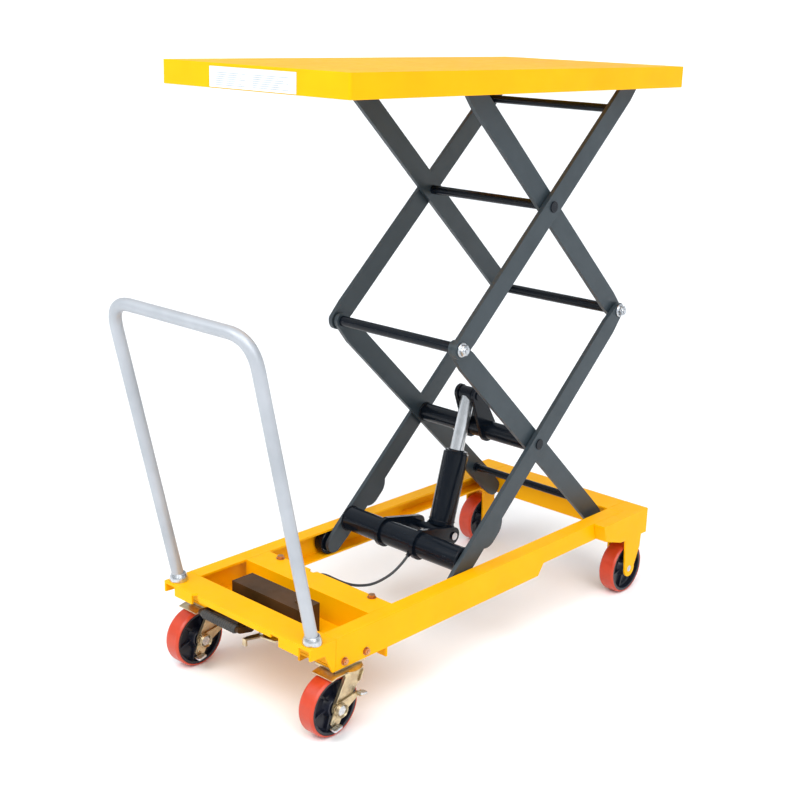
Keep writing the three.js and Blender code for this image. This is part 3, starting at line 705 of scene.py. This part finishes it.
class LIFTTABLE_OT_deck(PieceOperator, bpy.types.Operator):
    """Deck tray with folded skirt, its roller channels and the blank label"""

    bl_idname = "lift_table.deck"
    bl_label = "Deck"

    def build(self, sizes):
        softened("deck", sizes.deck_edge_radius, "yellow", 3, 50)
        for side, _ in SIDES:
            softened(f"deck_track_{side}", sizes.edge_radius * 0.7, "yellow")
        low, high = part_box("deck_label")
        build = bmesh.new()
        face_x = high.x - 0.0006
        outline = [(low.y, low.z), (high.y, low.z), (high.y, high.z), (low.y, high.z)]
        plate(build, outline, 0.0005, (face_x, 0, 0), (0, 1, 0), (0, 0, 1), 0.0)
        new_piece("label_plate", build, "deck_assembly", "vinyl", ("deck_label",))
        build = bmesh.new()
        width = high.y - low.y
        for start, share, rows in ((0.07, 0.37, 7), (0.51, 0.42, 7)):
            for row in range(rows):
                z = high.z - 0.0105 - row * 0.0036
                left = high.y - width * start
                reach = width * share * (0.97 - 0.13 * ((row * 5) % 3))
                outline = [(left - reach, z - 0.0006), (left, z - 0.0006),
                           (left, z + 0.0006), (left - reach, z + 0.0006)]
                plate(build, outline, 0.00012, (face_x - 0.0001, 0, 0), (0, 1, 0), (0, 0, 1), 0.0)
        new_piece("label_rules", build, "deck_assembly", "ink")


class LIFTTABLE_OT_base_frame(PieceOperator, bpy.types.Operator):
    """Welded base: rails, end beams, wheel boxes, bolts and weld beads"""

    bl_idname = "lift_table.base_frame"
    bl_label = "Base frame"

    def build(self, sizes):
        for node in ("front_beam", "cross_plate", "far_beam"):
            softened(node, sizes.edge_radius, "yellow")
        for side, _ in SIDES:
            softened(f"base_rail_{side}", sizes.edge_radius, "yellow")
            softened(f"fixed_wheel_box_{side}", sizes.edge_radius, "yellow")
        self.bolts()
        self.welds(sizes)

    def bolts(self):
        """Coppery hexagon bolts in the rails and the cross plate."""
        build = bmesh.new()
        for _, side in SIDES:
            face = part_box("base_rail_far")[1].y - 0.0032
            for x in (-0.39475, -0.33475):
                spot = Vector((x, side * face, 0.150))
                out = AXIS_Y * side
                lathe(build, [(0, 0), (0.0085, 0), (0.0085, 0.0012), (0, 0.0012)], spot, out, 28)
                hexagon(build, spot + out * 0.001, out, 0.0125, 0.0055)
                lathe(build, [(0, 0), (0.0032, 0), (0.0032, 0.0015), (0, 0.0022)],
                      spot + out * 0.006, out, 20)
            spot = Vector((-0.23475, side * 0.137, 0.204))
            lathe(build, [(0, 0), (0.0095, 0), (0.0095, 0.0014), (0, 0.0014)], spot, AXIS_Z, 28)
            hexagon(build, spot + AXIS_Z * 0.0012, AXIS_Z, 0.0135, 0.006)
        new_piece("frame_bolts", build, "base_frame", "copper")

    def welds(self, sizes):
        """Painted fillet beads where the beams meet the rails."""
        build = bmesh.new()
        bead = sizes.weld_radius * 0.8
        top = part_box("front_beam")[1].z
        for _, side in SIDES:
            low_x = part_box("front_beam")[1].x
            for x in (low_x + 0.0002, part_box("far_beam")[0].x + 0.033):
                path = []
                count = 20
                for i in range(count + 1):
                    y = side * (0.186 + 0.030 * i / count)
                    path.append((x, y, top - 0.0012))
                sizes_along = [bead * (1.0 if i % 2 else 0.8) for i in range(count + 1)]
                tube(build, path, sizes_along, 8)
        new_piece("frame_welds", build, "base_frame", "yellow", sharp_deg=70)


class LIFTTABLE_OT_handle(PieceOperator, bpy.types.Operator):
    """Push handle of bent tube and its domed sockets"""

    bl_idname = "lift_table.handle"
    bl_label = "Push handle"

    def build(self, sizes):
        low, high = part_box("push_handle")
        radius = 0.0125
        foot = Vector((-0.46075, 0, low.z))
        top = Vector((low.x + radius, 0, high.z - radius))
        reach = high.y - radius
        bend = 0.062
        lean = (top - foot).normalized()
        path = []
        for side in (-1, 1):
            leg_end = Vector((top.x, side * reach, top.z)) - lean * bend
            corner = Vector((top.x, side * reach, top.z))
            bar_end = Vector((top.x, side * (reach - bend), top.z))
            start = Vector((foot.x, side * reach, foot.z))
            leg = [start.lerp(leg_end, i / 4) for i in range(4)]
            arc = []
            for i in range(13):
                t = i / 12
                arc.append(leg_end * (1 - t) ** 2 + corner * 2 * t * (1 - t) + bar_end * t ** 2)
            path += leg + arc if side < 0 else (leg + arc)[::-1]
        build = bmesh.new()
        tube(build, path, radius, 40)
        new_piece("handle_tube", build, "base_frame", "silver", ("push_handle",), 60, False)
        for side, sign in SIDES:
            node = f"handle_collar_{side}"
            softened(node, 0.0006, "bright", 2, 30)
            build = bmesh.new()
            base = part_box(node)[0].z
            weld_ring(build, (middle(node).x, sign * reach, base + 0.0162), AXIS_Z, 0.0138,
                      0.0012, 30)
            new_piece(f"collar_weld_{side}", build, "base_frame", "silver", sharp_deg=70)


class LIFTTABLE_OT_arms(PieceOperator, bpy.types.Operator):
    """Scissor arms with broken edges and their end rollers"""

    bl_idname = "lift_table.arms"
    bl_label = "Scissor arms"

    def build(self, sizes):
        for side, _ in SIDES:
            for arm in ("lower_outer", "lower_inner", "upper_outer", "upper_inner"):
                softened(f"{arm}_arm_{side}", sizes.edge_radius, "slate", 2, 32)
            self.roller(f"base_roller_{side}")
            self.roller(f"deck_roller_{side}")

    def roller(self, node):
        """Turned steel roller with a recessed face and a bearing seal."""
        centre, radius, half = round_size(node)
        bore = 0.0084
        profile = [(bore, -half), (radius * 0.5, -half), (radius * 0.56, -half + 0.0012),
                   (radius * 0.8, -half + 0.0012), (radius * 0.86, -half),
                   (radius - 0.0015, -half), (radius, -half + 0.0015),
                   (radius, half - 0.0015), (radius - 0.0015, half), (radius * 0.86, half),
                   (radius * 0.8, half - 0.0012), (radius * 0.56, half - 0.0012),
                   (radius * 0.5, half), (bore, half), (bore, -half)]
        build = bmesh.new()
        lathe(build, profile, centre, AXIS_Y, 56)
        new_piece(f"{node}_finished", build, f"{node}_body", "black", (node,), 30)


class LIFTTABLE_OT_shafts(PieceOperator, bpy.types.Operator):
    """Cross shafts and tubes with their welds, washers and locking nuts"""

    bl_idname = "lift_table.shafts"
    bl_label = "Shafts and tubes"

    def build(self, sizes):
        bare = {"joint_shaft_left": 0.1812, "joint_shaft_right": 0.1812}
        for node in ("centre_shaft_lower", "centre_shaft_upper", "joint_shaft_left",
                     "joint_shaft_right", "foot_cross_tube", "top_cross_tube", "base_tube"):
            piece = softened(node, 0.0006, "black", 2, 34)
            if node in bare:
                tint_faces(piece, "bright", lambda spot, at=bare[node]: abs(spot.y) > at)
        pin = softened("cylinder_foot_pin", 0.0006, "black", 2, 34)
        tint_faces(pin, "bright", lambda spot: not -0.0525 < spot.y < 0.0635)
        self.nuts()
        self.welds(sizes)

    def nuts(self):
        """Nylon-insert nuts on domed washers at both ends of the middle joints."""
        for node, body in (("joint_shaft_left", "lower_inner_frame"),
                           ("joint_shaft_right", "lower_outer_frame")):
            steel = bmesh.new()
            insert = bmesh.new()
            spot = middle(node)
            for _, sign in SIDES:
                out = AXIS_Y * sign
                seat = Vector((spot.x, sign * 0.1835, spot.z))
                lathe(steel, [(0, 0), (0.0142, 0), (0.0132, 0.0012), (0, 0.0012)], seat, out, 40)
                hexagon(steel, seat + out * 0.001, out, 0.0215, 0.0072)
                lathe(steel, [(0, 0), (0.0092, 0), (0.0092, 0.0022), (0.0078, 0.0035),
                              (0.0060, 0.0035), (0.0060, 0.0028), (0, 0.0028)],
                      seat + out * 0.0078, out, 36)
                lathe(insert, [(0, 0), (0.0055, 0), (0.0050, 0.0022), (0, 0.0026)],
                      seat + out * 0.0106, out, 30)
            new_piece(f"{node}_nuts", steel, body, "bright")
            new_piece(f"{node}_thread_ends", insert, body, "bright")

    def welds(self, sizes):
        """Fillet beads where each tube meets the arms."""
        runs = (("centre_shaft_lower", "lower_inner_frame", 0.021, 0.1577),
                ("foot_cross_tube", "lower_inner_frame", 0.009, 0.1577),
                ("top_cross_tube", "upper_outer_frame", 0.009, 0.1707),
                ("base_tube", "lower_outer_frame", 0.028, 0.1707))
        centre_of = {
            "centre_shaft_lower": Vector((0.24993, 0, 0.43402)),
            "base_tube": Vector((0.0139, 0, 0.22094)),
        }
        for node, body, radius, reach in runs:
            spot = centre_of.get(node, middle(node))
            build = bmesh.new()
            for _, sign in SIDES:
                place = (spot.x, sign * (reach - 0.0016), spot.z)
                weld_ring(build, place, AXIS_Y, radius + 0.0006, sizes.weld_radius * 0.75)
            new_piece(f"{node}_welds", build, body, "black", sharp_deg=70)


class LIFTTABLE_OT_cylinder(PieceOperator, bpy.types.Operator):
    """Hydraulic cylinder: barrel with gland nut, wiper and port, and the chromed rod"""

    bl_idname = "lift_table.cylinder"
    bl_label = "Hydraulic cylinder"

    def build(self, sizes):
        softened("cylinder_barrel", 0.001, "black", 3, 34)
        rod = softened("cylinder_rod", 0.0008, "chrome", 2, 34)
        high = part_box("cylinder_rod")[1]
        head = Vector((high.x - 0.016, 0, high.z - 0.016))
        tint_faces(rod, "black", lambda spot: (Vector((spot.x, 0, spot.z)) - head).length < 0.0168)
        foot = middle("cylinder_foot_pin")
        axis = Vector((head.x - foot.x, 0, head.z - foot.z)).normalized()
        base = Vector((foot.x, middle("cylinder_barrel").y, foot.z))
        reach = math.hypot(head.x - foot.x, head.z - foot.z)
        build = bmesh.new()
        lathe(build, [(0.0155, reach - 0.176), (0.01565, reach - 0.176), (0.01565, reach - 0.018),
                      (0.0155, reach - 0.018), (0.0155, reach - 0.176)], base, axis, 96)
        new_piece("rod_chrome", build, "piston", "chrome")
        self.gland(base, axis)
        self.port(base, axis)

    def gland(self, base, axis):
        """Screwed gland with a wiper lip round the rod, and the weld bead round the barrel."""
        build = bmesh.new()
        lathe(build, [(0.0163, 0.0), (0.0258, 0.0), (0.0258, 0.0042), (0.0246, 0.0056),
                      (0.0190, 0.0060), (0.0178, 0.0078), (0.0163, 0.0078), (0.0163, 0.0)],
              base + axis * 0.1842, axis, 56)
        new_piece("gland_nut", build, "cylinder_body", "black", sharp_deg=30)
        build = bmesh.new()
        weld_ring(build, base + axis * 0.0262, axis, 0.0288, 0.0016, 44)
        new_piece("barrel_weld", build, "cylinder_body", "black", sharp_deg=70)

    def port(self, base, axis):
        """Hose port low on the barrel with its plug."""
        build = bmesh.new()
        out = Vector((axis.z, 0, -axis.x))
        spot = base + axis * 0.044 + out * 0.0265
        lathe(build, [(0, 0), (0.0095, 0), (0.0095, 0.0065), (0.0085, 0.0075), (0, 0.0075)],
              spot, out, 32)
        hexagon(build, spot + out * 0.0072, out, 0.0135, 0.0052)
        new_piece("barrel_port", build, "cylinder_body", "black", sharp_deg=34)


class LIFTTABLE_OT_pump(PieceOperator, bpy.types.Operator):
    """Foot pump under its cover, with the pedal and its ribbed sleeve"""

    bl_idname = "lift_table.pump"
    bl_label = "Foot pump"

    def build(self, sizes):
        softened("pump_cover", 0.0008, "pump")
        softened("pump_head", 0.0007, "pump")
        softened("foot_pedal", 0.0006, "pump", 2, 34)
        softened("release_lever", 0.0005, "zinc")
        self.sleeve(sizes)
        self.cover_screw()
        self.lever_bolt()

    def lever_bolt(self):
        """Hexagon head of the release lever's pivot bolt."""
        build = bmesh.new()
        hexagon(build, RELEASE_PIVOT, AXIS_Z, 0.012, 0.0046)
        new_piece("release_bolt", build, "release", "bright")

    def sleeve(self, sizes):
        """Rubber sleeve with rings moulded round it."""
        centre, radius, half = round_size("pedal_sleeve")
        ribs = int((2 * half - 0.004) / sizes.rib_pitch)
        profile = [(0.0059, -half), (radius - 0.0025, -half), (radius - 0.0012, -half + 0.002)]
        start = -half + 0.002
        for i in range(ribs):
            at = start + i * sizes.rib_pitch
            for share, depth in ((0.12, 0.0017), (0.3, 0.0003), (0.5, 0.0), (0.7, 0.0003),
                                 (0.88, 0.0017)):
                profile.append((radius - depth, at + share * sizes.rib_pitch))
        profile += [(radius - 0.0025, half), (0.0059, half), (0.0059, -half)]
        build = bmesh.new()
        lathe(build, profile, centre, AXIS_Y, 40)
        new_piece("pedal_sleeve_ribbed", build, "pedal", "rubber", ("pedal_sleeve",), 50)

    def cover_screw(self):
        """Pan head screw on the cover."""
        low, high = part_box("pump_cover")
        spot = Vector(((low.x + high.x) / 2, -0.062, high.z - 0.0041))
        build = bmesh.new()
        lathe(build, rounded_profile([(0, 0), (0.0075, 0), (0.0075, 0.0026), (0.0045, 0.0042),
                                      (0, 0.0042)], 0.0012), spot, AXIS_Z, 32)
        new_piece("cover_screw", build, "base_frame", "pump")


class LIFTTABLE_OT_wheels(PieceOperator, bpy.types.Operator):
    """Tyres, cast cores and axles of all four wheels"""

    bl_idname = "lift_table.wheels"
    bl_label = "Wheels"

    def build(self, sizes):
        for side, _ in SIDES:
            self.wheel("fixed", side, sizes)
            self.wheel("caster", side, sizes)
            softened(f"fixed_axle_{side}", 0.0006, "bright", 2, 34)

    def wheel(self, kind, side, sizes):
        """Red tread with soft shoulders on a ribbed navy core."""
        node = f"{kind}_tyre_{side}"
        body = f"{kind}_wheel_{side}"
        centre, radius, half = round_size(node)
        inside = radius - 0.0048
        shoulder = sizes.tyre_shoulder
        walls = [(inside, -half + 0.0006), (radius - 0.0030, -half), (radius, -half + 0.0045),
                 (radius, half - 0.0045), (radius - 0.0030, half), (inside, half - 0.0006)]
        profile = rounded_profile(walls, shoulder, 6)
        profile.append(profile[0])
        build = bmesh.new()
        lathe(build, profile, centre, AXIS_Y, 96)
        new_piece(f"{node}_cast", build, body, "tyre", (node,), 60)

        core = f"{kind}_core_{side}"
        reach = round_size(core)[2]
        rim = inside - 0.0003
        face = half - 0.0006
        ring = [(0.0084, -reach), (0.0175, -reach), (0.019, -reach + 0.0015), (0.0205, -0.012),
                (0.024, -0.0065), (rim - 0.010, -0.0055), (rim - 0.007, -0.0085),
                (rim - 0.0055, -face + 0.001), (rim - 0.004, -face), (rim, -face), (rim, face),
                (rim - 0.004, face), (rim - 0.0055, face - 0.001), (rim - 0.007, 0.0085),
                (rim - 0.010, 0.0055), (0.024, 0.0065), (0.0205, 0.012),
                (0.019, reach - 0.0015), (0.0175, reach), (0.0084, reach), (0.0084, -reach)]
        build = bmesh.new()
        lathe(build, ring, centre, AXIS_Y, 72)
        for i in range(6):
            angle = math.radians(60 * i + 20)
            along = Vector((math.cos(angle), 0, math.sin(angle)))
            across = along.cross(AXIS_Y)
            outline = [(0.017, -0.0135), (rim - 0.0065, -0.0115), (rim - 0.0065, 0.0115),
                       (0.017, 0.0135)]
            start = centre - across * 0.0022
            plate(build, outline, 0.0044, start, along, AXIS_Y * -1, 0.0009)
        new_piece(f"{core}_cast", build, body, "core", (core,), 34)


class LIFTTABLE_OT_casters(PieceOperator, bpy.types.Operator):
    """Swivel casters: plate, ball race, pressed fork and foot brake"""

    bl_idname = "lift_table.casters"
    bl_label = "Casters"

    def build(self, sizes):
        for side, _ in SIDES:
            softened(f"caster_plate_{side}", 0.0006, "zinc")
            softened(f"brake_lever_{side}", 0.0006, "zinc", 2, 34)
            wheel = middle(f"caster_tyre_{side}")
            self.fork(side, wheel)
            self.axle(side, wheel)
            self.brake(side, wheel)

    def fork(self, side, wheel):
        """Pressed fork: crown with ball race, two legs with turned edges, hood over the tyre."""
        low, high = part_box(f"caster_plate_{side}")
        swivel = Vector(((low.x + high.x) / 2, wheel.y, 0))
        build = bmesh.new()
        race = rounded_profile([(0, 0.1278), (0.0305, 0.1278), (0.0345, 0.1286),
                                (0.0345, 0.1302), (0.0305, 0.1309), (0, 0.1309)], 0.0015, 3)
        lathe(build, race, swivel, AXIS_Z, 56)
        hexagon(build, swivel + AXIS_Z * 0.1195, AXIS_Z, 0.019, 0.0085)
        across = 0.028
        flat = [(-0.050, 0.1281), (0.021, 0.1281), (0.021, 0.1308), (-0.050, 0.1308)]
        lip = [(-0.063, 0.1248), (-0.0495, 0.1279), (-0.0495, 0.1308), (-0.063, 0.1276)]
        for outline in (flat, lip):
            plate(build, outline, 2 * across, swivel + AXIS_Y * across, (1, 0, 0), (0, 0, 1),
                  0.0006)
        leg = [(0.0235, 0.1308), (-0.0275, 0.1308), (-0.0600, 0.0700), (-0.0612, 0.0600),
               (-0.0560, 0.0500), (-0.0470, 0.0464), (-0.0375, 0.0485), (-0.0318, 0.0540),
               (0.0080, 0.0980)]
        for start in (-0.0280, 0.0280):
            inner = start + (0.0035 if start < 0 else 0)
            plate(build, leg, 0.0035, swivel + AXIS_Y * inner, (1, 0, 0), (0, 0, 1), 0.0007)
            out = -1 if start < 0 else 1
            for a, b in ((leg[1], leg[2]), (leg[8], leg[0])):
                along = Vector((b[0] - a[0], 0, b[1] - a[1]))
                face = along.normalized().cross(AXIS_Y)
                if face.x * (1 if a is leg[1] else -1) < 0:
                    face = -face
                edge = swivel + Vector((a[0], start, a[1]))
                outline = [(0.003, 0), (along.length - 0.006, 0),
                           (along.length - 0.010, 0.0042 * out), (0.007, 0.0042 * out)]
                plate(build, outline, 0.0024, edge, along, AXIS_Y, 0.0005)
        new_piece(f"caster_fork_{side}_pressed", build, f"caster_{side}", "zinc",
                  (f"caster_fork_{side}",), 34)

    def axle(self, side, wheel):
        """Axle bolt with its head and nut against washers."""
        build = bmesh.new()
        lathe(build, [(0, -0.0362), (0.0079, -0.0362), (0.0079, 0.0362), (0, 0.0362)], wheel,
              AXIS_Y, 32)
        for out in (-1, 1):
            seat = wheel + AXIS_Y * (out * (0.0322 if out < 0 else 0.0282))
            lathe(build, [(0, 0), (0.0125, 0), (0.0125, 0.0014), (0, 0.0014)], seat,
                  AXIS_Y * out, 36)
            hexagon(build, seat + AXIS_Y * (out * 0.0013), AXIS_Y * out, 0.0185, 0.0052)
        new_piece(f"caster_axle_{side}", build, f"caster_{side}", "bright")

    def brake(self, side, wheel):
        """Notched disc, coil spring and the two foot pads of the brake."""
        near = wheel - AXIS_Y * 0.0322
        disc = []
        for i in range(28):
            angle = 2 * math.pi * i / 28
            reach = 0.0185 if i % 4 < 2 else 0.0155
            disc.append((math.cos(angle) * reach, math.sin(angle) * reach))
        build = bmesh.new()
        plate(build, disc, 0.0016, near + AXIS_Y * 0.0002, (1, 0, 0), (0, 0, 1), 0.0004)
        coil = []
        for i in range(85):
            angle = 2 * math.pi * i / 24
            coil.append(near + Vector((math.cos(angle) * 0.0137, -0.0026 - 0.0019 * i / 24,
                                       math.sin(angle) * 0.0137)))
        tail = coil[-1]
        coil.append(tail + Vector((-0.006, 0.0, -0.009)))
        coil.append(tail + Vector((-0.009, 0.002, -0.016)))
        tube(build, coil, 0.0009, 8)
        new_piece(f"brake_disc_{side}", build, f"brake_{side}", "zinc", sharp_deg=45)
        build = bmesh.new()
        for x, z, wide, deep, tilt in ((-0.0145, 0.0292, 0.021, 0.0135, 14),
                                       (0.0525, 0.0800, 0.018, 0.0135, -10)):
            right = Vector((math.cos(math.radians(tilt)), 0, math.sin(math.radians(tilt))))
            corner = Vector((wheel.x + x, wheel.y - 0.0470, z)) - right * wide / 2
            outline = [(0.002, 0), (wide - 0.002, 0), (wide, 0.002), (wide, deep - 0.002),
                       (wide - 0.002, deep), (0.002, deep), (0, deep - 0.002), (0, 0.002)]
            plate(build, outline, 0.0048, corner, right, AXIS_Y, 0.0009)
            for rib in range(3):
                at = wide * (0.24 + 0.26 * rib)
                plate(build, [(at - 0.0009, 0.002), (at + 0.0009, 0.002),
                              (at + 0.0009, deep - 0.002), (at - 0.0009, deep - 0.002)],
                      0.0058, corner, right, AXIS_Y, 0.0004)
        new_piece(f"brake_pads_{side}", build, f"brake_{side}", "bright")


OPERATORS = (
    LIFTTABLE_OT_stage,
    LIFTTABLE_OT_hose,
    LIFTTABLE_OT_deck,
    LIFTTABLE_OT_base_frame,
    LIFTTABLE_OT_handle,
    LIFTTABLE_OT_arms,
    LIFTTABLE_OT_shafts,
    LIFTTABLE_OT_cylinder,
    LIFTTABLE_OT_pump,
    LIFTTABLE_OT_wheels,
    LIFTTABLE_OT_casters,
)


class LIFTTABLE_PT_panel(bpy.types.Panel):
    """Sizes, colours and the build buttons"""

    bl_idname = "LIFTTABLE_PT_panel"
    bl_label = "Scissor Lift Table"
    bl_space_type = "VIEW_3D"
    bl_region_type = "UI"
    bl_category = "Lift Table"

    def draw(self, context):
        for group in (context.scene.lift_table_sizes, context.scene.lift_table_colours):
            box = self.layout.box()
            for key in group.__annotations__:
                box.prop(group, key)
        for operator in OPERATORS:
            self.layout.operator(operator.bl_idname)


CLASSES = (LiftTableSizes, LiftTableColours) + OPERATORS + (LIFTTABLE_PT_panel,)


def register():
    for cls in CLASSES:
        bpy.utils.register_class(cls)
    bpy.types.Scene.lift_table_sizes = bpy.props.PointerProperty(type=LiftTableSizes)
    bpy.types.Scene.lift_table_colours = bpy.props.PointerProperty(type=LiftTableColours)


def unregister():
    del bpy.types.Scene.lift_table_colours
    del bpy.types.Scene.lift_table_sizes
    for cls in reversed(CLASSES):
        bpy.utils.unregister_class(cls)


def main():
    register()
    for operator in OPERATORS:
        family, name = operator.bl_idname.split(".")
        getattr(getattr(bpy.ops, family), name)()


if __name__ == "__main__":
    main()
